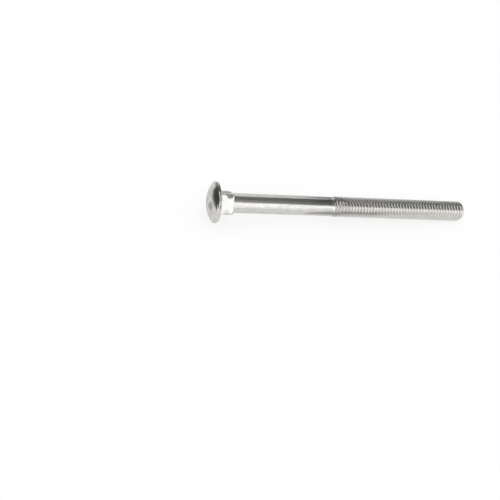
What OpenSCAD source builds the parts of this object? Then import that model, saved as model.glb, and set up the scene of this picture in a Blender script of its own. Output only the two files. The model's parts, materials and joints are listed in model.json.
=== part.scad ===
// Carriage bolt with a domed head, a square neck, a reduced shank and a rolled right-hand thread.
// It is one piece of steel. Its own axis runs from the bearing face under the head, at 0, to the
// point. It lies as it would on a table, on the rim of its head and the crest of its last thread,
// with the point towards +X and the table at Z = 0. All sizes are in millimetres.

/* [Head] */
// Diameter of the head
head_d = 15.5; // [14:0.1:20]
// Height of the head above the bearing face
head_h = 4.4; // [3.5:0.1:6]
// Radius of the rounded rim of the head
rim_r = 1.2; // [0.5:0.05:1.4]

/* [Neck] */
// Width of the square neck across its flats
neck_w = 7.7; // [6.8:0.1:8.6]
// Length of the square neck from the bearing face
neck_len = 5.1; // [3:0.1:8]
// Radius of the neck's four long corners
neck_corner_r = 0.5; // [0.2:0.05:1]
// Width of the bevel that ends the neck's corners on the shank side
neck_bevel = 0.4; // [0.2:0.05:1]
// Turn of the square about the bolt's axis as the bolt lies
neck_turn = 59; // [0:1:90]

/* [Shank] */
// Length of the bolt from the bearing face to the point
bolt_len = 100; // [80:1:110]
// Diameter of the plain shank between neck and thread
shank_d = 7.4; // [7:0.05:7.7]

/* [Thread] */
// Diameter over the crests of the thread
thread_d = 7.84; // [7.75:0.01:8]
// Length of the thread, its run-out included
thread_len = 55.5; // [30:0.5:62]
// Rise of the thread in one turn
thread_pitch = 1.25; // [1.1:0.05:1.5]
// Length over which the crest rises from the shank at the start of the thread
crest_rise_len = 0.4; // [0.3:0.1:2]
// Length over which the groove gets its full depth
runout_len = 5; // [1.5:0.5:8]
// Turn of the thread about the bolt's axis as the bolt lies
thread_turn = 105; // [0:1:359]
// Diameter of the flat end of the point
point_d = 6.3; // [5:0.1:6.6]
// Length of the tapered point
point_len = 1.1; // [0.8:0.1:3]

/* [Hidden] */
// Smoothness of the round forms
$fn = 96;
// Flat sides that one turn of the thread is made of
turn_sides = 24;

head_r = head_d / 2;
shank_r = shank_d / 2;
crest_r = thread_d / 2;
point_r = point_d / 2;
thread_start = bolt_len - thread_len;

// The dome is a sphere that ends tangent to the round of the rim.
rim_reach = head_r - rim_r;
rim_drop = head_h - rim_r;
dome_r = (rim_reach ^ 2 + rim_drop ^ 2 - rim_r ^ 2) / (2 * (rim_drop - rim_r));
dome_centre = dome_r - head_h;
// Share of the dome's radius at which the sphere meets the rim's round, outwards and along the axis
tangent_out = rim_reach / (dome_r - rim_r);
tangent_up = (dome_r - rim_drop) / (dome_r - rim_r);

// Proportions of the metric thread as shares of its pitch: depth, crest flat, flank angle
thread_depth = 0.6134 * thread_pitch;
crest_flat = thread_pitch / 8;
flank_angle = 30;
flank_run = thread_depth * tan(flank_angle);
root_r = crest_r - thread_depth;
// Places along one pitch where the profile turns, and its radius there
turn_at = [0, crest_flat, crest_flat + flank_run, thread_pitch - flank_run];
turn_r = [crest_r, crest_r, root_r, root_r];
// The thread's body begins inside the shank, so that the two are one piece. It is thinner there
// than the shank by this gap.
inside_len = 0.4;
inside_gap = 0.02;
core_r = shank_r - inside_gap;
body_start = thread_start - inside_len;
// One pitch is kept spare at the start and two at the end, for the rows that the ends cut off.
turn_count = ceil((bolt_len - body_start) / thread_pitch) + 3;
row_count = len(turn_at) * turn_count;

// The bolt rests on its rim and on the last full crest, so its axis leans by this angle.
last_crest = bolt_len - point_len - thread_pitch;
span_across = rim_reach - crest_r;
span_along = last_crest + rim_r;
lean = atan2(span_across, span_along) + asin(rim_r / norm([span_across, span_along]));
// Height of the bearing face's centre above the table
seat_height = crest_r * cos(lean) + last_crest * sin(lean);
// Ends of the bolt along X, for centring it
reach_back = head_h * cos(lean);
reach_front = bolt_len * cos(lean) - point_r * sin(lean);
seat_x = (reach_back - reach_front) / 2;

// Height of profile point number row in angular column number side, before the ends cut it off
function raw_height(side, row) =
    body_start + thread_pitch * (floor(row / len(turn_at)) - 1 + side / turn_sides)
    + turn_at[row % len(turn_at)];

function limited(value, low, high) = max(low, min(value, high));

// Share of the full thread at a height: 0 at the start of the thread, 1 past the length len
function thread_share(height, len) = limited((height - thread_start) / len, 0, 1);

// Radius of the tapered point's cone at a height
function point_cone(height) = point_r + (bolt_len - height) * (crest_r - point_r) / point_len;

// Radius of the thread at a height where the full profile has the radius full. The crest rises
// sooner than the groove deepens.
function thread_radius(height, full) =
    let (len = full > core_r ? crest_rise_len : runout_len)
    min(core_r + (full - core_r) * thread_share(height, len), point_cone(height));

// First and last rows of a column that the ends leave in use
function first_row(side) =
    max([for (row = [0 : row_count - 1]) if (raw_height(side, row) <= body_start) row]);
function last_row(side) =
    min([for (row = [0 : row_count - 1]) if (raw_height(side, row) >= bolt_len) row]);

// Head: a dome tangent to a rounded rim, flat below
module head() {
    rotate_extrude()
        union() {
            intersection() {
                translate([0, dome_centre]) circle(dome_r);
                polygon([
                    [0, 0],
                    [rim_reach, 0],
                    [rim_reach, -rim_r],
                    [rim_reach + rim_r * tangent_out, -rim_r * (1 + tangent_up)],
                    [rim_reach + rim_r * tangent_out, -head_h - rim_r],
                    [0, -head_h - rim_r]
                ]);
            }
            translate([rim_reach, -rim_r]) circle(rim_r);
        }
}

// Neck: a square bar with rounded long corners, bevelled where it meets the shank
module neck() {
    inner_w = neck_w - 2 * neck_corner_r;
    corner_reach = inner_w / sqrt(2) + neck_corner_r;
    // The bevel's cone starts a little below the bevel, outside the corners.
    cone_h = neck_bevel + neck_corner_r / 2;
    intersection() {
        translate([0, 0, -rim_r])
            linear_extrude(neck_len + rim_r)
                union() {
                    square([inner_w, neck_w], center = true);
                    square([neck_w, inner_w], center = true);
                    for (x = [-1, 1], y = [-1, 1])
                        translate([x, y] * inner_w / 2) circle(neck_corner_r);
                }
        union() {
            translate([0, 0, -rim_r]) cylinder(r = neck_w, h = neck_len + rim_r - cone_h);
            translate([0, 0, neck_len - cone_h])
                cylinder(r1 = corner_reach + cone_h - neck_bevel, r2 = corner_reach - neck_bevel, h = cone_h);
        }
    }
}

// Plain shank between the neck and the thread
module shank() {
    cylinder(r = shank_r, h = thread_start);
}

// Rolled thread: one continuous ridge. Every column of points runs along the bolt, and the profile
// climbs by one pitch from a column to the same column a turn later.
module thread() {
    firsts = [for (side = [0 : turn_sides - 1]) first_row(side)];
    lasts = [for (side = [0 : turn_sides - 1]) last_row(side)];
    points = [
        for (side = [0 : turn_sides - 1], row = [0 : row_count - 1])
            let (
                height = limited(raw_height(side, row), body_start, bolt_len),
                radius = thread_radius(height, turn_r[row % len(turn_r)]),
                angle = 360 * side / turn_sides
            )
            [radius * cos(angle), radius * sin(angle), height]
    ];
    function number(side, row) =
        side * row_count + limited(row, firsts[side], lasts[side]);
    strips = [
        for (side = [0 : turn_sides - 1], row = [-len(turn_at) : row_count - 1])
            let (
                closing = side == turn_sides - 1,
                next = closing ? 0 : side + 1,
                climb = closing ? len(turn_at) : 0,
                low = number(side, row),
                high = number(side, row + 1),
                next_low = number(next, row + climb),
                next_high = number(next, row + climb + 1)
            )
            each [
                if (low != high) [low, high, next_high],
                if (next_low != next_high) [low, next_high, next_low]
            ]
    ];
    start_cap = [for (side = [0 : turn_sides - 1]) number(side, 0)];
    point_cap = [for (side = [turn_sides - 1 : -1 : 0]) number(side, row_count)];
    polyhedron(points = points, faces = concat(strips, [start_cap, point_cap]));
}

module carriage_bolt() {
    color([0.78, 0.78, 0.77])
        translate([seat_x, 0, seat_height])
            rotate([0, 90 + lean, 0])
                union() {
                    head();
                    rotate([0, 0, neck_turn]) neck();
                    shank();
                    rotate([0, 0, thread_turn]) thread();
                }
}

carriage_bolt();
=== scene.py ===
import json
import math

import bmesh
import bpy
from mathutils import Matrix, Vector, noise


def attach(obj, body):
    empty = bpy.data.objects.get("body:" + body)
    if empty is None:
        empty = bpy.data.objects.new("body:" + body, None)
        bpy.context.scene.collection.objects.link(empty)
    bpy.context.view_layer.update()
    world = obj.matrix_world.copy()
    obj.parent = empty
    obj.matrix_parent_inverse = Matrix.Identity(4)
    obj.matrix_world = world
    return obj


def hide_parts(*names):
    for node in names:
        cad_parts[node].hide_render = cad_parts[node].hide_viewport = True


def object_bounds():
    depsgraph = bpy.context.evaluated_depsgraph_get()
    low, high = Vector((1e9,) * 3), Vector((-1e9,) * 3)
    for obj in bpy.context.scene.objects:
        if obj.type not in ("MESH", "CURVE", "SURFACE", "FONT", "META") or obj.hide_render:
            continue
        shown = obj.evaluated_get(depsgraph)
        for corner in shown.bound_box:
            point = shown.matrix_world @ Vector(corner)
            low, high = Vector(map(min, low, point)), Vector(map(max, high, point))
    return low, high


# Carriage bolt: a domed head, a square neck, a plain shank and a rolled right-hand thread, zinc
# plated. It lies on the rim of its head and on its last crest. All lengths are in metres.

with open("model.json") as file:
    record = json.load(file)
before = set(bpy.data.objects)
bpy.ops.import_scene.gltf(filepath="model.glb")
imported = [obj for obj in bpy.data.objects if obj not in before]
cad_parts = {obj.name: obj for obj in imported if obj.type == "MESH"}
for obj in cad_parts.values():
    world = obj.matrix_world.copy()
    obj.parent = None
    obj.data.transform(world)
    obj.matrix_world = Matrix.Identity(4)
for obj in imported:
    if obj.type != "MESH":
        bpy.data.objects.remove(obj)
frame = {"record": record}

bl_info = {
    "name": "Carriage Bolt",
    "version": (1, 0, 0),
    "blender": (4, 5, 0),
    "location": "3D View > Sidebar > Carriage Bolt",
    "description": "Makes a zinc plated carriage bolt and the studio that shows it",
    "category": "Add Mesh",
}

MM = 0.001

# Sizes and places that the model already has
MOUNTS = {mount["name"]: mount for mount in frame["record"]["mounts"]}
CAD_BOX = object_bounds()
HEAD_R = (CAD_BOX[1].y - CAD_BOX[0].y) / 2
SEAT = Vector(MOUNTS["head_seat"]["pos_m"])
AXIS = Vector(MOUNTS["head_seat"]["axis"]).normalized()
SIDE = Vector((0, 1, 0))
NECK_LEN = MOUNTS["square_neck"]["dims"]["length_mm"] * MM
SHANK_R = MOUNTS["shank"]["dims"]["r_mm"] * MM
THREAD_START = NECK_LEN + MOUNTS["shank"]["dims"]["length_mm"] * MM
THREAD_R = MOUNTS["thread"]["dims"]["r_mm"] * MM
BOLT_LEN = THREAD_START + MOUNTS["thread"]["dims"]["length_mm"] * MM

# The bolt's own frame: Z from the bearing face to the point, Y across, X towards the floor
BOLT_FRAME = Matrix.Translation(SEAT) @ Matrix((SIDE.cross(AXIS), SIDE, AXIS)).transposed().to_4x4()

# Proportions of the metric thread as shares of its pitch. The crest is a little wider than the
# standard's, because the rounding of its edges takes some of it away.
THREAD_DEPTH = 0.6134
CREST_HALF = 0.1
FLANK_ANGLE = math.radians(30)
FLANK_RUN = THREAD_DEPTH * math.tan(FLANK_ANGLE)


class BoltShape(bpy.types.PropertyGroup):
    """Sizes of the bolt that its mounts don't give."""

    head_height: bpy.props.FloatProperty(
        name="Head Height", description="Height of the head above the bearing face",
        default=4.4 * MM, unit="LENGTH")
    rim_radius: bpy.props.FloatProperty(
        name="Rim Radius", description="Radius of the rounded rim of the head",
        default=1.2 * MM, unit="LENGTH")
    neck_width: bpy.props.FloatProperty(
        name="Neck Width", description="Width of the square neck across its flats",
        default=7.7 * MM, unit="LENGTH")
    neck_corner: bpy.props.FloatProperty(
        name="Neck Corner", description="Radius of the neck's four long corners",
        default=0.5 * MM, unit="LENGTH")
    neck_bevel: bpy.props.FloatProperty(
        name="Neck Bevel", description="Width of the bevel that ends the neck's corners",
        default=0.4 * MM, unit="LENGTH")
    neck_turn: bpy.props.FloatProperty(
        name="Neck Turn", description="Turn of the square about the bolt's axis",
        default=math.radians(59), subtype="ANGLE")
    fillet: bpy.props.FloatProperty(
        name="Fillet", description="Radius of the hollow corner between head and neck",
        default=0.35 * MM, unit="LENGTH")
    unevenness: bpy.props.FloatProperty(
        name="Unevenness", description="Height of the uneven forged surface",
        default=0.025 * MM, unit="LENGTH")
    pitch: bpy.props.FloatProperty(
        name="Pitch", description="Rise of the thread in one turn",
        default=1.25 * MM, unit="LENGTH")
    crest_rise: bpy.props.FloatProperty(
        name="Crest Rise", description="Length over which the crest rises from the shank",
        default=0.4 * MM, unit="LENGTH")
    runout: bpy.props.FloatProperty(
        name="Run-out", description="Length over which the groove gets its full depth",
        default=5 * MM, unit="LENGTH")
    thread_turn: bpy.props.FloatProperty(
        name="Thread Turn", description="Direction in which the crest leaves the start of the thread",
        default=math.radians(198), subtype="ANGLE")
    point_radius: bpy.props.FloatProperty(
        name="Point Radius", description="Radius of the flat end of the point",
        default=3.15 * MM, unit="LENGTH")
    point_length: bpy.props.FloatProperty(
        name="Point Length", description="Length of the tapered point",
        default=1.1 * MM, unit="LENGTH")
    flat_steps: bpy.props.IntProperty(
        name="Flat Steps", description="Columns of faces along one flat of the neck", default=20)
    corner_steps: bpy.props.IntProperty(
        name="Corner Steps", description="Columns of faces round one corner of the neck", default=8)
    turn_rows: bpy.props.IntProperty(
        name="Rows in a Turn", description="Rows of faces across one ridge of the thread", default=12)


class ZincFinish(bpy.types.PropertyGroup):
    """Colours and gloss of the plating."""

    zinc: bpy.props.FloatVectorProperty(
        name="Zinc", description="Colour of the bright plating",
        default=(0.91, 0.898, 0.865), subtype="COLOR", size=3, min=0, max=1)
    # This colour also paints the shade in the thread's roots and the patches of painted shade and
    # painted dark reflection on the head and the neck.
    dull: bpy.props.FloatVectorProperty(
        name="Dull Zinc", description="Colour of the plating in the roots and specks",
        default=(0.36, 0.345, 0.32), subtype="COLOR", size=3, min=0, max=1)
    smooth: bpy.props.FloatProperty(
        name="Smoothest", description="Roughness where the plating is brightest",
        default=0.2, subtype="FACTOR", min=0, max=1)
    rough: bpy.props.FloatProperty(
        name="Roughest", description="Roughness where the plating is dull",
        default=0.42, subtype="FACTOR", min=0, max=1)


class StudioSetup(bpy.types.PropertyGroup):
    """The camera, the softbox and the light from all round."""

    lens: bpy.props.FloatProperty(
        name="Lens", description="Focal length on a sensor 36 mm wide", default=50)
    distance: bpy.props.FloatProperty(
        name="Distance", description="Distance of the bearing face in the direction of the view",
        default=0.2549, unit="LENGTH")
    seat_pixel: bpy.props.FloatVectorProperty(
        name="Place of the Bearing Face", description="Its pixel in a picture of 500 by 500",
        default=(218.2, 202.3), size=2)
    azimuth: bpy.props.FloatProperty(
        name="Azimuth", description="Direction of the camera round the bolt",
        default=math.radians(-19.43), subtype="ANGLE")
    elevation: bpy.props.FloatProperty(
        name="Elevation", description="Height of the camera above the floor as an angle",
        default=math.radians(45), subtype="ANGLE")
    roll: bpy.props.FloatProperty(
        name="Roll", description="Turn of the camera about its own view",
        default=math.radians(-13.51), subtype="ANGLE")
    lamp_power: bpy.props.FloatProperty(
        name="Softbox Power", description="Power of the softbox in front",
        default=0.614, unit="POWER")
    surround: bpy.props.FloatProperty(
        name="Surround", description="Strength of the light from all round", default=0.76)


# Small helpers


def smooth_min(a, b, width):
    """The smaller of two numbers, rounded over a width where they are close."""
    near = max(width - abs(a - b), 0) / width
    return min(a, b) - near * near * width / 4


def mix(a, b, share):
    """The number at a share of the way from one number to another."""
    return a + (b - a) * share


class Tree:
    """Adds nodes to a node tree and links them, so that a formula reads as it is worked out."""

    # Nodes in one row of the editor, and the space that a node takes there
    ROW, WIDE, HIGH = 8, 240, 220

    def __init__(self, tree):
        self.tree = tree
        self.count = 0

    def add(self, kind, sockets=None, **settings):
        """Adds a node. sockets gives its inputs by name or number, as values or as other outputs."""
        node = self.tree.nodes.new(kind)
        node.location = (self.WIDE * (self.count % self.ROW), -self.HIGH * (self.count // self.ROW))
        self.count += 1
        for name, value in settings.items():
            setattr(node, name, value)
        for name, value in (sockets or {}).items():
            self.feed(node.inputs[name], value)
        return node

    def feed(self, socket, value):
        """Links an output to an input, or sets the input to a value."""
        if isinstance(value, bpy.types.NodeSocket):
            self.tree.links.new(value, socket)
        else:
            socket.default_value = value

    def math(self, operation, *values, clamp=False):
        """Works out a number."""
        node = self.add("ShaderNodeMath", dict(enumerate(values)), operation=operation, use_clamp=clamp)
        return node.outputs[0]

    def vector(self, operation, *values):
        """Works out a vector, or the length of one."""
        node = self.add("ShaderNodeVectorMath", dict(enumerate(values)), operation=operation)
        return node.outputs["Value" if operation == "LENGTH" else "Vector"]

    def fade(self, value, low, high, start=0.0, end=1.0, kind="LINEAR"):
        """Maps the range from low to high onto the range from start to end."""
        names = {"Value": value, "From Min": low, "From Max": high, "To Min": start, "To Max": end}
        node = self.add("ShaderNodeMapRange", names, interpolation_type=kind)
        return node.outputs["Result"]

    def blend(self, share, a, b):
        """Mixes two colours. The node's sockets for colours have these numbers."""
        return self.add("ShaderNodeMix", {0: share, 6: a, 7: b}, data_type="RGBA").outputs[2]


def new_group(name, kind, inputs, outputs):
    """Makes a node group with named sockets. Returns its helper and its input and output nodes."""
    group = bpy.data.node_groups.new(name, kind)
    for socket, (socket_type, default) in inputs.items():
        made = group.interface.new_socket(socket, in_out="INPUT", socket_type=socket_type)
        if default is not None:
            made.default_value = default
    for socket, socket_type in outputs.items():
        group.interface.new_socket(socket, in_out="OUTPUT", socket_type=socket_type)
    tree = Tree(group)
    return tree, tree.add("NodeGroupInput").outputs, tree.add("NodeGroupOutput").inputs


def empty_material(name):
    """Makes a material without nodes. Returns it with the helper that fills it."""
    material = bpy.data.materials.new(name)
    material.use_nodes = True
    material.node_tree.nodes.clear()
    return material, Tree(material.node_tree)


# Surface effects that the zinc materials share


def mottle_group():
    """Cloudy patches, as hot rinsed plating has: 0 on bright patches and 1 on dull ones."""
    tree, given, result = new_group("Plating Mottle", "ShaderNodeTree", {
        "Vector": ("NodeSocketVector", None),
        "Scale": ("NodeSocketFloat", 0.6),
        "Contrast": ("NodeSocketFloat", 0.12),
    }, {"Dullness": "NodeSocketFloat"})
    cloud = tree.add("ShaderNodeTexNoise", {
        "Vector": given["Vector"], "Scale": given["Scale"], "Detail": 5.0, "Roughness": 0.6})
    middle = 0.52
    low = tree.math("SUBTRACT", middle, given["Contrast"])
    high = tree.math("ADD", middle, given["Contrast"])
    tree.feed(result["Dullness"], tree.fade(cloud.outputs["Fac"], low, high, kind="SMOOTHSTEP"))
    return tree.tree


def nick_group():
    """Small pits and specks from tumbling in the plating barrel: 1 inside a speck."""
    tree, given, result = new_group("Tumbling Nicks", "ShaderNodeTree", {
        "Vector": ("NodeSocketVector", None),
        "Scale": ("NodeSocketFloat", 1.2),
        "Size": ("NodeSocketFloat", 0.25),
        "Share": ("NodeSocketFloat", 0.5),
    }, {"Speck": "NodeSocketFloat"})
    warp = tree.add("ShaderNodeTexNoise", {"Vector": given["Vector"], "Scale": 3.0, "Detail": 2.0})
    bend = (0.5, 0.5, 0.5)
    bent = tree.vector("MULTIPLY_ADD", warp.outputs["Color"], bend, given["Vector"])
    cell = tree.add("ShaderNodeTexVoronoi", {"Vector": bent, "Scale": given["Scale"]})
    channels = tree.add("ShaderNodeSeparateColor", {0: cell.outputs["Color"]}).outputs
    reach = tree.math("MULTIPLY", given["Size"], channels["Green"])
    core = tree.math("MULTIPLY", reach, 0.5)
    spot = tree.fade(cell.outputs["Distance"], core, reach, 1.0, 0.0)
    chosen = tree.math("LESS_THAN", channels["Red"], given["Share"])
    tree.feed(result["Speck"], tree.math("MULTIPLY", spot, chosen))
    return tree.tree


def shade_patch_group():
    """One patch of painted shade with an uneven edge: 1 at its centre and 0 outside it."""
    tree, given, result = new_group("Painted Shade", "ShaderNodeTree", {
        "Vector": ("NodeSocketVector", None),
        "Centre": ("NodeSocketVector", None),
        "Size": ("NodeSocketFloat", 1.0),
        "Unevenness": ("NodeSocketFloat", 0.6),
    }, {"Painted Shade": "NodeSocketFloat"})
    away = tree.vector("LENGTH", tree.vector("SUBTRACT", given["Vector"], given["Centre"]))
    cloud = tree.add("ShaderNodeTexNoise", {"Vector": given["Vector"], "Scale": 1.1, "Detail": 4.0})
    swing = tree.fade(cloud.outputs["Fac"], 0.0, 1.0, -1.0, 1.0)
    ragged = tree.math("MULTIPLY", swing, given["Unevenness"])
    share = tree.math("ADD", tree.math("DIVIDE", away, given["Size"]), ragged)
    full, gone = 0.35, 1.1
    tree.feed(result["Painted Shade"], tree.fade(share, full, gone, 1.0, 0.0, kind="SMOOTHSTEP"))
    return tree.tree


def line_group():
    """Fine lines along the bolt from drawing the wire: a value from 0 to 1."""
    tree, given, result = new_group("Draw Lines", "ShaderNodeTree", {
        "Vector": ("NodeSocketVector", None),
        "Fineness": ("NodeSocketFloat", 2.5),
        "Length": ("NodeSocketFloat", 12.0),
    }, {"Line": "NodeSocketFloat"})
    along = tree.math("DIVIDE", 1.0, given["Length"])
    scale = tree.add("ShaderNodeCombineXYZ", {"X": 1.0, "Y": 1.0, "Z": along}).outputs[0]
    stretched = tree.vector("MULTIPLY", given["Vector"], scale)
    lines = tree.add("ShaderNodeTexNoise", {
        "Vector": stretched, "Scale": given["Fineness"], "Detail": 6.0, "Roughness": 0.65})
    faint, strong = 0.38, 0.62
    tree.feed(result["Line"], tree.fade(lines.outputs["Fac"], faint, strong))
    return tree.tree


class Zinc:
    """A zinc material: its nodes in the making, with the bolt's own frame in millimetres."""

    def __init__(self, name, finish):
        self.material, self.nodes = empty_material(name)
        self.finish = finish
        here = self.nodes.add("ShaderNodeTexCoord").outputs["Object"]
        self.place = self.nodes.add("ShaderNodeMapping", {
            "Vector": here, "Location": SEAT, "Rotation": BOLT_FRAME.to_euler(),
            "Scale": (MM, MM, MM)}, vector_type="TEXTURE").outputs[0]

    def along(self):
        """Millimetres along the bolt, from the bearing face towards the point."""
        return self.nodes.add("ShaderNodeSeparateXYZ", {0: self.place}).outputs["Z"]

    def effect(self, group, **values):
        """Places a shared effect and returns its output."""
        node = self.nodes.add("ShaderNodeGroup", node_tree=bpy.data.node_groups[group])
        self.nodes.feed(node.inputs["Vector"], self.place)
        for name, value in values.items():
            self.nodes.feed(node.inputs[name], value)
        return node.outputs[0]

    def scaled(self, value, share):
        """A share of a value."""
        return self.nodes.math("MULTIPLY", value, share)

    def specked(self, marks, relief, darkness, depth, **values):
        """Adds specks to a dullness and a relief, darkness dull and depth deep."""
        specks = self.effect("Tumbling Nicks", **values)
        dullness = self.nodes.math("MAXIMUM", marks, self.scaled(specks, darkness))
        height = self.nodes.math("SUBTRACT", relief, self.scaled(specks, depth))
        return dullness, height

    def surface(self, dullness, height, relief):
        """Ends the material: dullness drives colour and roughness, and height the fine relief."""
        nodes, finish = self.nodes, self.finish
        colour = nodes.blend(dullness, (*finish.zinc, 1), (*finish.dull, 1))
        gloss = nodes.fade(dullness, 0.0, 1.0, finish.smooth, finish.rough)
        bump = nodes.add("ShaderNodeBump", {"Height": height, "Distance": relief})
        shader = nodes.add("ShaderNodeBsdfPrincipled", {
            "Base Color": colour, "Metallic": 1.0, "Roughness": gloss,
            "Normal": bump.outputs["Normal"]})
        nodes.add("ShaderNodeOutputMaterial", {"Surface": shader.outputs["BSDF"]})
        return self.material


# Patches of painted shade and painted dark reflection on the head and the neck, which stand in for the
# shade in the crevice beside the head and the reflections of dark things nearby: centre in the bolt's
# own frame and size in millimetres, and how dull they are
SHADE_PATCHES = (
    ((-3.3, 1.98, 2.6), 3.0, 0.85),
    ((-4.66, -1.51, 3.3), 1.1, 0.9),
    ((-1.4, -3.8, -3.7), 2.1, 0.75),
    ((-0.9, 0.2, -4.3), 2.6, 0.4),
    ((-4.6, -1.0, 0.0), 1.0, 0.9),
    ((-4.0, -2.5, 0.0), 1.0, 0.9),
    ((1.6, -4.7, 2.5), 2.2, 0.4),
)


def forged_zinc(finish):
    """Head and neck: cloudy, with patches of painted shade and painted dark reflection, specks and a
    fine hammered grain.
    """
    zinc = Zinc("forged_zinc", finish)
    nodes = zinc.nodes
    # The clouds are strong on the head and fade across the bearing face.
    head_mm, neck_mm = -1.0, 0.5
    head_clouds, neck_clouds = 0.28, 0.08
    cloudiness = nodes.fade(zinc.along(), head_mm, neck_mm, head_clouds, neck_clouds)
    marks = zinc.scaled(zinc.effect("Plating Mottle", Scale=0.45, Contrast=0.16), cloudiness)
    grain = nodes.add("ShaderNodeTexNoise", {
        "Vector": zinc.place, "Scale": 1.6, "Detail": 4.0, "Roughness": 0.55}).outputs["Fac"]
    dullness, height = zinc.specked(
        marks, grain, darkness=0.4, depth=0.4, Scale=0.9, Size=0.22, Share=0.5)
    # The patches of painted shade and painted dark reflection darken the zinc through its dullness.
    for centre, size, strength in SHADE_PATCHES:
        shade_patch = zinc.effect("Painted Shade", Centre=centre, Size=size)
        dullness = nodes.math("MAXIMUM", dullness, zinc.scaled(shade_patch, strength))
    return zinc.surface(dullness, height, relief=0.03 * MM)


def drawn_zinc(finish):
    """Shank: fine lines along the bolt, with faint clouds and a few specks."""
    zinc = Zinc("drawn_zinc", finish)
    cloud = zinc.effect("Plating Mottle", Scale=0.3, Contrast=0.12)
    lines = zinc.effect("Draw Lines", Fineness=2.2, Length=14.0)
    cloud_dullness, line_dullness, line_depth = 0.1, 0.15, 0.3
    marks = zinc.nodes.math("ADD", zinc.scaled(cloud, cloud_dullness), zinc.scaled(lines, line_dullness))
    dullness, height = zinc.specked(
        marks, zinc.scaled(lines, line_depth),
        darkness=0.35, depth=0.3, Scale=0.8, Size=0.22, Share=0.4)
    return zinc.surface(dullness, height, relief=0.02 * MM)


def rolled_zinc(finish):
    """Thread: bright on the crests, darker in the roots with painted shade, and dull where the thread
    runs out.
    """
    zinc = Zinc("rolled_zinc", finish)
    nodes = zinc.nodes
    radius = nodes.vector("LENGTH", nodes.vector("MULTIPLY", zinc.place, (1, 1, 0)))
    crest_mm = THREAD_R / MM

    # Painted shade in the roots, as dullness, and the depths below the crest where it is full and where
    # it ends
    root_shade_strength, root_mm, flank_mm = 0.05, 0.75, 0.45
    # root: painted shade that darkens the roots of the thread
    root = nodes.fade(radius, crest_mm - root_mm, crest_mm - flank_mm, root_shade_strength, 0.0)
    cloud = zinc.effect("Plating Mottle", Scale=0.5, Contrast=0.14)
    cloud_dullness, cloud_depth = 0.08, 0.4
    start_mm = THREAD_START / MM

    # Dullness of the first turns, and the lengths past the start where it is full and where it ends
    runout_dullness, dullest_mm, brightest_mm = 0.35, 1, 9
    runout = nodes.fade(
        zinc.along(), start_mm + dullest_mm, start_mm + brightest_mm, runout_dullness, 0.0)
    # marks: the painted shade in the roots together with the clouds
    marks = nodes.math("ADD", root, zinc.scaled(cloud, cloud_dullness))
    dullness, height = zinc.specked(
        nodes.math("MAXIMUM", marks, runout), zinc.scaled(cloud, cloud_depth),
        darkness=0.35, depth=0.4, Scale=1.1, Size=0.25, Share=0.4)
    return zinc.surface(dullness, height, relief=0.015 * MM)


# The blank: head, neck and shank, as rings of vertices from the crown to the start of the thread


def column_angles(shape):
    """Angles of the mesh's columns about the bolt. They are closest round the neck's corners."""
    half = shape.neck_width / 2
    flat_half = math.atan((half - shape.neck_corner) / half)
    corner = math.pi / 2 - 2 * flat_half
    angles = []
    for side in range(4):
        start = shape.neck_turn + side * math.pi / 2 - flat_half
        angles += [start + 2 * flat_half * step / shape.flat_steps for step in range(shape.flat_steps)]
        start += 2 * flat_half
        angles += [start + corner * step / shape.corner_steps for step in range(shape.corner_steps)]
    return angles


def square_reach(shape, angle, grow=0.0):
    """Distance from the axis to the outline of the square neck, or to that outline grown evenly."""
    off_flat = abs((angle - shape.neck_turn + math.pi / 4) % (math.pi / 2) - math.pi / 4)
    half = shape.neck_width / 2
    inner = half - shape.neck_corner
    if math.tan(off_flat) * (half + grow) <= inner:
        return (half + grow) / math.cos(off_flat)
    off_corner = math.pi / 4 - off_flat
    centre = inner * math.sqrt(2)
    rounding = shape.neck_corner + grow
    ahead, beside = centre * math.cos(off_corner), centre * math.sin(off_corner)
    return ahead + math.sqrt(rounding ** 2 - beside ** 2)


def head_rings(shape):
    """Dome and rim as pairs of radius and height, from beside the crown to the bearing face."""
    rim = shape.rim_radius
    reach = HEAD_R - rim
    drop = shape.head_height - rim
    dome_r = (reach ** 2 + drop ** 2 - rim ** 2) / (2 * (drop - rim))
    edge = math.asin(reach / (dome_r - rim))
    dome_steps = 30
    rim_steps = 14
    rings = []
    for step in range(1, dome_steps + 1):
        tilt = edge * step / dome_steps
        rings.append((dome_r * math.sin(tilt), dome_r * (1 - math.cos(tilt)) - shape.head_height))
    for step in range(1, rim_steps + 1):
        tilt = mix(edge, math.pi, step / rim_steps)
        rings.append((reach + rim * math.sin(tilt), -rim - rim * math.cos(tilt)))
    return rings


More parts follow.
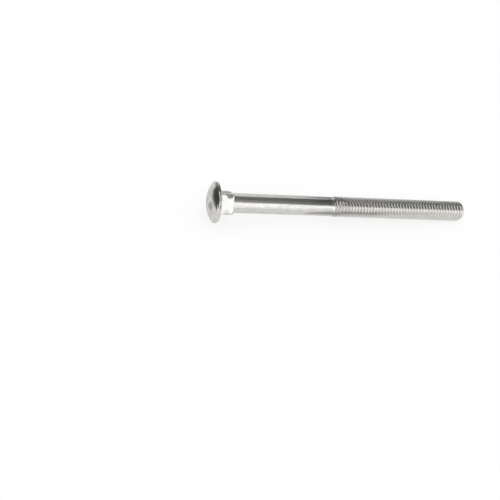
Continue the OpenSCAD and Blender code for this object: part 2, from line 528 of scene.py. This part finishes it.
def neck_rows(shape, angles):
    """Bearing face, hollow corner, flats, bevel and shoulder of the neck, as rows of such pairs."""
    fillet = shape.fillet
    face_reach = HEAD_R - shape.rim_radius
    corner_reach = square_reach(shape, shape.neck_turn + math.pi / 4)
    bevel_softness = 0.25 * MM
    largest_round = 0.12 * MM
    rows = []
    face_steps = 8
    for step in range(1, face_steps):
        share = step / face_steps
        rows.append([(mix(face_reach, square_reach(shape, a, fillet), share), 0.0) for a in angles])
    fillet_steps = 5
    for step in range(fillet_steps + 1):
        tilt = math.pi / 2 * step / fillet_steps
        grow = fillet * (1 - math.sin(tilt))
        height = fillet * (1 - math.cos(tilt))
        rows.append([(square_reach(shape, a, grow), height) for a in angles])

    def flank(angle, height):
        """Reach of the neck's side at a height, with the bevel that cuts its corners."""
        bevel = corner_reach + (NECK_LEN - shape.neck_bevel - height)
        return smooth_min(square_reach(shape, angle), bevel, bevel_softness)

    flat_rows = 22
    for step in range(1, flat_rows + 1):
        height = mix(fillet, NECK_LEN - largest_round, step / flat_rows)
        rows.append([(flank(a, height), height) for a in angles])

    # Reach of each column at the neck's end, and the radius of the rounds that lead over to the shank
    shoulder_share = 0.35
    reaches = [flank(a, NECK_LEN) for a in angles]
    ends = [(reach, min(shoulder_share * (reach - SHANK_R), largest_round)) for reach in reaches]
    round_steps = 4
    for step in range(1, round_steps + 1):
        tilt = math.pi / 2 * step / round_steps
        rows.append([
            (reach - round_r * (1 - math.cos(tilt)), NECK_LEN - round_r * (1 - math.sin(tilt)))
            for reach, round_r in ends])
    shoulder_steps = 3
    for step in range(1, shoulder_steps + 1):
        share = step / shoulder_steps
        rows.append([
            (mix(reach - round_r, SHANK_R + round_r, share), NECK_LEN) for reach, round_r in ends])
    for step in range(1, round_steps + 1):
        tilt = math.pi / 2 * step / round_steps
        rows.append([
            (SHANK_R + round_r * (1 - math.sin(tilt)), NECK_LEN + round_r * (1 - math.cos(tilt)))
            for reach, round_r in ends])
    return rows


def shank_heights():
    """Heights of the shank's rings, from past the shoulder to the start of the thread."""
    past_shoulder = 0.3 * MM
    first = NECK_LEN + past_shoulder
    steps = 30
    return [mix(first, THREAD_START, step / steps) for step in range(steps + 1)]


def forge(mesh_verts, shape):
    """Makes the head and the neck slightly uneven, with a few dents."""
    # Direction, height, radius and depth of each dent. The first one is the notch in the neck's
    # upper corner, beside the head.
    dents = (
        (math.radians(198), 3.3 * MM, 1.5 * MM, 0.42 * MM),
        (math.radians(183), 2.4 * MM, 0.8 * MM, 0.12 * MM),
        (math.radians(280), 3.2 * MM, 1.1 * MM, 0.1 * MM),
    )
    centres = [
        (Vector((math.cos(a), math.sin(a), 0)) * square_reach(shape, a) + Vector((0, 0, z)), size, depth)
        for a, z, size, depth in dents]
    fade_length = 1 * MM
    fade_end = NECK_LEN + fade_length
    swell_size = 2.6 * MM
    fine_share, fine_scale = 0.5, 2.3
    for vertex in mesh_verts:
        if vertex.co.z > fade_end:
            continue
        place = vertex.co / swell_size
        swell = noise.noise(place) + fine_share * noise.noise(place * fine_scale)
        push = (swell - 1) * shape.unevenness * min((fade_end - vertex.co.z) / fade_length, 1)
        for centre, size, depth in centres:
            near = 1 - (vertex.co - centre).length / size
            if near > 0:
                push -= depth * near * near * (3 - 2 * near)
        vertex.co += vertex.normal * push


def make_blank(shape, materials):
    """The bolt without its thread, open at the last ring."""
    angles = column_angles(shape)
    rows = [[ring] * len(angles) for ring in head_rings(shape)]
    rows += neck_rows(shape, angles)
    forged_rows = len(rows)
    rows += [[(SHANK_R, height)] * len(angles) for height in shank_heights()]
    mesh = bmesh.new()
    crown = mesh.verts.new((0, 0, -shape.head_height))
    rings = [
        [mesh.verts.new((r * math.cos(a), r * math.sin(a), z)) for a, (r, z) in zip(angles, row)]
        for row in rows]
    for column in range(len(angles)):
        beside = (column + 1) % len(angles)
        mesh.faces.new((crown, rings[0][beside], rings[0][column]))
        for number, (low, high) in enumerate(zip(rings, rings[1:])):
            face = mesh.faces.new((low[column], low[beside], high[beside], high[column]))
            face.material_index = 0 if number < forged_rows else 1
    for face in mesh.faces:
        face.smooth = True
    mesh.normal_update()
    forge(mesh.verts, shape)
    data = bpy.data.meshes.new("bolt_blank")
    mesh.to_mesh(data)
    mesh.free()
    for material in materials:
        data.materials.append(material)
    return data


# The thread: a grid of vertices that is wound round the axis, one pitch a turn


def thread_group():
    """Node tree that winds a rolled thread onto the last ring of the blank and closes the point."""
    number = "NodeSocketFloat"
    tree, given, result = new_group("Rolled Thread", "GeometryNodeTree", {
        "Blank": ("NodeSocketGeometry", None),
        "Columns": ("NodeSocketInt", 112),
        "First Vertex": ("NodeSocketInt", 0),
        "Start": (number, THREAD_START),
        "End": (number, BOLT_LEN),
        "Pitch": (number, 1.25 * MM),
        "Crest Radius": (number, THREAD_R),
        "Shank Radius": (number, SHANK_R),
        "Crest Rise": (number, 0.4 * MM),
        "Run-out": (number, 5 * MM),
        "Turn": (number, 0.0),
        "Point Radius": (number, 3.15 * MM),
        "Point Length": (number, 1.1 * MM),
        "Rows in a Turn": ("NodeSocketInt", 12),
        "Material": ("NodeSocketMaterial", None),
    }, {"Bolt": "NodeSocketGeometry"})
    do = tree.math
    pitch, start, end = given["Pitch"], given["Start"], given["End"]

    # Widths over which corners are rounded: on the crest and in the root as shares of the thread's
    # depth, and where the crest meets the tapered point and the turns meet the end face
    crest_softness, root_softness = 0.28, 0.12
    point_softness, end_softness = 0.2 * MM, 0.12 * MM

    # The spare turns at both ends are pressed flat against the blank's last ring and the end face.
    spare_turns = 3.0
    turns = do("ADD", do("DIVIDE", do("SUBTRACT", end, start), pitch), spare_turns)
    rows = do("ADD", do("CEIL", do("MULTIPLY", turns, given["Rows in a Turn"])), 1.0)
    grid = tree.add("GeometryNodeMeshGrid", {
        "Vertices X": do("ADD", given["Columns"], 1.0), "Vertices Y": rows})
    index = tree.add("GeometryNodeInputIndex").outputs[0]
    column = do("FLOOR", do("DIVIDE", do("ADD", index, 0.5), rows))
    row = do("SUBTRACT", index, do("MULTIPLY", column, rows))

    # Direction of each column, its share of a turn counted from the first one, and the share by
    # which the crest lags behind at the first column
    position = tree.add("GeometryNodeInputPosition").outputs[0]

    def blank_place(offset):
        names = {"Geometry": given["Blank"], "Value": position,
                 "Index": do("ADD", given["First Vertex"], offset)}
        sample = tree.add("GeometryNodeSampleIndex", data_type="FLOAT_VECTOR", domain="POINT")
        for name, value in names.items():
            tree.feed(sample.inputs[name], value)
        return sample.outputs[0]

    def angle_of(place):
        parts = tree.add("ShaderNodeSeparateXYZ", {0: place}).outputs
        return do("ARCTAN2", parts["Y"], parts["X"])

    around = blank_place(do("MODULO", column, given["Columns"]))
    first_angle = angle_of(blank_place(0.0))
    swing = do("SUBTRACT", angle_of(around), first_angle)
    fraction = do("FRACT", do("ADD", do("DIVIDE", swing, math.tau), 1.0))
    last = do("GREATER_THAN", do("ADD", column, 0.5), given["Columns"])
    fraction = do("MAXIMUM", fraction, last)
    behind = do("DIVIDE", do("SUBTRACT", given["Turn"], first_angle), math.tau)
    fraction = do("SUBTRACT", fraction, do("FRACT", do("ADD", behind, 1.0)))
    direction = tree.vector("NORMALIZE", tree.vector("MULTIPLY", around, (1, 1, 0)))

    # Rows are closest at the crest and at the root, where the profile bends.
    closeness = 0.5
    even = do("DIVIDE", row, given["Rows in a Turn"])
    wave = do("SINE", do("MULTIPLY", even, 4 * math.pi))
    turn = do("SUBTRACT", even, do("MULTIPLY", wave, closeness / (4 * math.pi)))
    climb = do("ADD", do("SUBTRACT", turn, 1.0), fraction)
    raw = do("ADD", start, do("MULTIPLY", pitch, climb))
    height = do("MAXIMUM", start, do("SMOOTH_MIN", raw, end, end_softness))

    # Profile: 1 on the crest and 0 in the root, rounded at both
    off_crest = do("PINGPONG", turn, 0.5)
    rise = do("DIVIDE", do("SUBTRACT", CREST_HALF + FLANK_RUN, off_crest), FLANK_RUN)
    profile = do("SMOOTH_MAX", do("SMOOTH_MIN", rise, 1.0, crest_softness), 0.0, root_softness)
    past_start = do("SUBTRACT", height, start)
    crest_share = tree.fade(past_start, 0.0, given["Crest Rise"], kind="SMOOTHSTEP")
    root_share = tree.fade(past_start, 0.0, given["Run-out"])
    crest_gain = do("SUBTRACT", given["Crest Radius"], given["Shank Radius"])
    root_loss = do("SUBTRACT", do("MULTIPLY", pitch, THREAD_DEPTH), crest_gain)
    crest_part = do("MULTIPLY", do("MULTIPLY", crest_gain, profile), crest_share)
    root_part = do("MULTIPLY", do("MULTIPLY", root_loss, do("SUBTRACT", 1.0, profile)), root_share)
    radius = do("ADD", given["Shank Radius"], do("SUBTRACT", crest_part, root_part))

    # Tapered point, and the flat end face closed over its centre
    narrowing = do("SUBTRACT", given["Crest Radius"], given["Point Radius"])
    taper = do("DIVIDE", narrowing, given["Point Length"])
    cone = do("ADD", given["Point Radius"], do("MULTIPLY", do("SUBTRACT", end, height), taper))
    radius = do("SMOOTH_MIN", radius, cone, point_softness)
    past_end = do("DIVIDE", do("SUBTRACT", raw, end), pitch, clamp=True)
    radius = do("MULTIPLY", radius, do("SUBTRACT", 1.0, past_end))

    out = tree.add("ShaderNodeVectorMath", {"Vector": direction, "Scale": radius}, operation="SCALE")
    lift = tree.add("ShaderNodeCombineXYZ", {"Z": height}).outputs[0]
    place = tree.vector("ADD", out.outputs[0], lift)
    wound = tree.add("GeometryNodeSetPosition", {"Geometry": grid.outputs["Mesh"], "Position": place})
    smooth = tree.add("GeometryNodeSetShadeSmooth", {"Geometry": wound.outputs[0]})
    joined = tree.add("GeometryNodeJoinGeometry")
    tree.feed(joined.inputs[0], smooth.outputs[0])
    tree.feed(joined.inputs[0], given["Blank"])
    weld = 0.002 * MM
    welded = tree.add("GeometryNodeMergeByDistance", {"Geometry": joined.outputs[0], "Distance": weld})
    real = tree.add("GeometryNodeRealizeInstances", {"Geometry": welded.outputs[0]})
    above = tree.add("ShaderNodeSeparateXYZ", {0: position}).outputs["Z"]
    threaded = do("GREATER_THAN", above, start)
    finished = tree.add("GeometryNodeSetMaterial", {
        "Geometry": real.outputs[0], "Selection": threaded, "Material": given["Material"]})
    tree.feed(result["Bolt"], finished.outputs[0])
    return tree.tree


def wind_thread(blank, shape, material):
    """Runs the node tree on the blank and returns the whole bolt as one closed mesh."""
    columns = len(column_angles(shape))
    carrier = bpy.data.objects.new("bolt_blank", blank)
    bpy.context.scene.collection.objects.link(carrier)
    values = {
        "Columns": columns,
        "First Vertex": len(blank.vertices) - columns,
        "Start": THREAD_START,
        "End": BOLT_LEN,
        "Pitch": shape.pitch,
        "Crest Radius": THREAD_R,
        "Shank Radius": SHANK_R,
        "Crest Rise": shape.crest_rise,
        "Run-out": shape.runout,
        "Turn": shape.thread_turn,
        "Point Radius": shape.point_radius,
        "Point Length": shape.point_length,
        "Rows in a Turn": shape.turn_rows,
        "Material": material,
    }
    modifier = carrier.modifiers.new("Rolled Thread", "NODES")
    modifier.node_group = thread_group()
    for item in modifier.node_group.interface.items_tree:
        if item.item_type == "SOCKET" and item.name in values:
            modifier[item.identifier] = values[item.name]
    evaluated = carrier.evaluated_get(bpy.context.evaluated_depsgraph_get())
    data = bpy.data.meshes.new_from_object(evaluated)
    bpy.data.objects.remove(carrier)
    bpy.data.meshes.remove(blank)
    return data


class OBJECT_OT_carriage_bolt(bpy.types.Operator):
    """Make the bolt: forged head and neck, drawn shank and rolled thread in one closed mesh"""

    bl_idname = "object.carriage_bolt"
    bl_label = "Bolt"

    def execute(self, context):
        shape, finish = context.scene.bolt_shape, context.scene.bolt_finish
        for group in (mottle_group, nick_group, shade_patch_group, line_group):
            group()
        blank = make_blank(shape, [forged_zinc(finish), drawn_zinc(finish)])
        data = wind_thread(blank, shape, rolled_zinc(finish))
        data.transform(BOLT_FRAME)
        data.name = "bolt"
        mesh = bmesh.new()
        mesh.from_mesh(data)
        bmesh.ops.recalc_face_normals(mesh, faces=mesh.faces)
        if any(not edge.is_manifold for edge in mesh.edges):
            raise RuntimeError("the bolt's mesh isn't closed")
        mesh.to_mesh(data)
        mesh.free()
        bolt = bpy.data.objects.new("bolt", data)
        context.scene.collection.objects.link(bolt)
        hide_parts("carriage_bolt")
        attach(bolt, "root")
        return {"FINISHED"}


# The stage: floor, surround, softbox, cards and camera


def sheet(name, corners, material):
    """A flat sheet with the given corners."""
    data = bpy.data.meshes.new(name)
    data.from_pydata([Vector(corner) for corner in corners], [], [tuple(range(len(corners)))])
    data.materials.append(material)
    made = bpy.data.objects.new(name, data)
    bpy.context.scene.collection.objects.link(made)
    return made


def ray_kinds(nodes):
    """Two masks: 1 where the camera looks directly, and 1 where a reflection looks."""
    paths = nodes.add("ShaderNodeLightPath").outputs
    mirrored = nodes.math("MAXIMUM", paths["Is Glossy Ray"], paths["Is Transmission Ray"])
    return paths["Is Camera Ray"], mirrored


def pale_floor():
    """Nearly white for the camera and softer in reflections, with the bolt's shadow kept."""
    material, nodes = empty_material("pale_floor")
    direct, mirrored = ray_kinds(nodes)
    direct_glow, mirrored_glow, grey = 0.73, 0.46, 0.35
    strength = nodes.math("ADD", nodes.math("MULTIPLY", direct, direct_glow),
                          nodes.math("MULTIPLY", mirrored, mirrored_glow))
    paper = nodes.add("ShaderNodeBsdfDiffuse", {"Color": (grey, grey, grey, 1)})
    glow = nodes.add("ShaderNodeEmission", {"Strength": strength})
    both = nodes.add("ShaderNodeAddShader", {0: paper.outputs[0], 1: glow.outputs[0]})
    nodes.add("ShaderNodeOutputMaterial", {"Surface": both.outputs[0]})
    return material


def card_paint(name, grey):
    """Even grey of a card that only reflections show."""
    material, nodes = empty_material(name)
    glow = nodes.add("ShaderNodeEmission", {"Color": (grey, grey, grey, 1)})
    nodes.add("ShaderNodeOutputMaterial", {"Surface": glow.outputs[0]})
    return material


# Cards that only reflections show: name, grey, one corner and the two edges that leave it. The large
# ones set how light each band along the shank and the thread is. The small ones close to the head and
# the neck give these their patches of light and dark.
CARDS = (
    ("overhead_front_card", 0.28, (0, -0.42, 0.5), (0.21, 0, 0), (0, 0.32, 0)),
    ("overhead_back_card", 0.16, (0, -0.1, 0.5), (0.21, 0, 0), (0, 0.49, 0)),
    ("back_left_card", 0.25, (-0.6, 0.39, 0.5), (0.66, 0, 0), (0, 0.47, -0.5)),
    ("back_card", 0.75, (0.06, 0.39, 0.5), (0.19, 0, 0), (0, 0.47, -0.5)),
    ("overhead_left_card", 0.1, (-0.13, -0.3, 0.5), (0.13, 0, 0), (0, 0.69, 0)),
    ("thread_overhead_card", 0.01, (0.21, -0.42, 0.5), (1.6, 0, 0), (0, 0.81, 0)),
    ("thread_back_card", 0.06, (0.25, 0.39, 0.5), (1.6, 0, 0), (0, 0.47, -0.5)),
    ("thread_front_card", 0.12, (0.29, -0.6, 0), (1.5, 0, 0), (0, 0, 0.2)),
    ("low_front_card", 0.12, (0.23, -0.6, 0), (0.14, 0, 0), (0, 0, 0.08)),
    ("side_card", 0.05, (-0.5, 0.21, 0), (0, 0.33, 0), (0, 0, 0.5)),
    ("overhead_corner_card", 0.05, (-0.5, 0.2, 0.5), (0.37, 0, 0), (0, 0.19, 0)),
    ("head_side_card", 0.05, (-0.075, -0.02, 0.001), (0, 0.048, 0.0075), (0, 0, 0.024)),
    ("head_top_card", 0.05, (-0.0425, -0.03, 0.025), (-0.0042, 0.045, 0), (-0.034, 0, 0)),
    ("head_back_card", 0.12, (-0.055, 0.002, 0.025), (0.0165, 0, 0), (0, 0.012, 0)),
    ("head_front_card", 0.22, (-0.1, -0.04, 0.017), (0.055, 0, 0), (0, 0, 0.04)),
    ("rim_card", 0.85, (-0.0492, -0.0015, 0.019), (0.0045, 0, 0), (0.0035, -0.008, 0)),
    ("front_floor_card", 0.95, (-0.7, -0.6, 0.0005), (0.88, 0, 0), (-0.17, 0.56, 0)),
    ("floor_card", 0.36, (-0.014, -0.005, 0.0006), (0.028, 0, 0), (0.034, -0.032, 0)),
)


def make_cards():
    """Grey cards round the bolt, which give the metal its reflections."""
    for name, grey, corner, edge, other_edge in CARDS:
        corner, edge, other_edge = Vector(corner), Vector(edge), Vector(other_edge)
        corners = (corner, corner + edge, corner + edge + other_edge, corner + other_edge)
        card = sheet(name, corners, card_paint(name, grey))
        card.visible_camera = False
        card.visible_diffuse = False
        card.visible_shadow = False


def make_surround(strength):
    """White for the camera, and softer in reflections and as light."""
    world = bpy.data.worlds.new("studio")
    bpy.context.scene.world = world
    world.use_nodes = True
    world.node_tree.nodes.clear()
    nodes = Tree(world.node_tree)
    direct, mirrored = ray_kinds(nodes)
    mirrored_glow = 0.78
    level = nodes.math("MAXIMUM", nodes.math("MULTIPLY", mirrored, mirrored_glow), strength)
    level = nodes.math("MAXIMUM", level, direct)
    white = nodes.add("ShaderNodeBackground", {"Color": (1, 1, 1, 1), "Strength": level})
    nodes.add("ShaderNodeOutputWorld", {"Surface": white.outputs[0]})


def make_softbox(power):
    """A softbox in front of the bolt, between 2 and 47 degrees above the floor."""
    width, height = 0.9, 0.59
    place = Vector((-0.09, -0.637, 0.294))
    data = bpy.data.lights.new("softbox", "AREA")
    data.shape = "RECTANGLE"
    data.size = width
    data.size_y = height
    data.energy = power
    lamp = bpy.data.objects.new("softbox", data)
    lamp.location = place
    lamp.rotation_euler = Vector((0, place.y, place.z)).to_track_quat("Z", "Y").to_euler()
    bpy.context.scene.collection.objects.link(lamp)
    lamp.visible_camera = False


def make_camera(studio):
    """Camera that shows the bearing face at its pixel, at its distance and in its direction."""
    sensor, picture, nearest = 36.0, 500.0, 0.01
    az, el, roll = studio.azimuth, studio.elevation, studio.roll
    ahead = -Vector((math.sin(az) * math.cos(el), -math.cos(az) * math.cos(el), math.sin(el)))
    level = ahead.cross(Vector((0, 0, 1))).normalized()
    right = level * math.cos(roll) + ahead.cross(level) * math.sin(roll)
    down = ahead.cross(right)
    per_pixel = studio.distance * sensor / (studio.lens * picture)
    across = (studio.seat_pixel[0] - picture / 2) * per_pixel
    below = (studio.seat_pixel[1] - picture / 2) * per_pixel
    data = bpy.data.cameras.new("camera")
    data.lens = studio.lens
    data.sensor_width = sensor
    data.clip_start = nearest
    camera = bpy.data.objects.new("camera", data)
    turn = Matrix((right, -down, -ahead)).transposed().to_4x4()
    place = SEAT - right * across - down * below - ahead * studio.distance
    camera.matrix_world = Matrix.Translation(place) @ turn
    bpy.context.scene.collection.objects.link(camera)
    bpy.context.scene.camera = camera


class SCENE_OT_bolt_stage(bpy.types.Operator):
    """Make the floor, the surround, the softbox, the cards and the camera"""

    bl_idname = "scene.bolt_stage"
    bl_label = "Stage"

    def execute(self, context):
        studio = context.scene.bolt_studio
        reach = 3.0
        corners = ((-reach, -reach, 0), (reach, -reach, 0), (reach, reach, 0), (-reach, reach, 0))
        sheet("floor", corners, pale_floor())
        make_surround(studio.surround)
        make_softbox(studio.lamp_power)
        make_cards()
        make_camera(studio)
        context.scene.view_settings.view_transform = "Standard"
        return {"FINISHED"}


class VIEW3D_PT_carriage_bolt(bpy.types.Panel):
    """Buttons that make the bolt and its stage, with their sizes"""

    bl_label = "Carriage Bolt"
    bl_space_type = "VIEW_3D"
    bl_region_type = "UI"
    bl_category = "Carriage Bolt"

    def draw(self, context):
        for operator in OPERATORS:
            self.layout.operator(operator.bl_idname)
        for name in GROUPS:
            group = getattr(context.scene, name)
            box = self.layout.box()
            for field in group.__annotations__:
                box.prop(group, field)


GROUPS = {"bolt_shape": BoltShape, "bolt_finish": ZincFinish, "bolt_studio": StudioSetup}
OPERATORS = (OBJECT_OT_carriage_bolt, SCENE_OT_bolt_stage)


def register():
    for made in (*GROUPS.values(), *OPERATORS, VIEW3D_PT_carriage_bolt):
        bpy.utils.register_class(made)
    for name, group in GROUPS.items():
        setattr(bpy.types.Scene, name, bpy.props.PointerProperty(type=group))


def unregister():
    for name in GROUPS:
        delattr(bpy.types.Scene, name)
    for made in reversed((*GROUPS.values(), *OPERATORS, VIEW3D_PT_carriage_bolt)):
        bpy.utils.unregister_class(made)


def main():
    register()
    bpy.ops.object.carriage_bolt()
    bpy.ops.scene.bolt_stage()


if __name__ == "__main__":
    main()
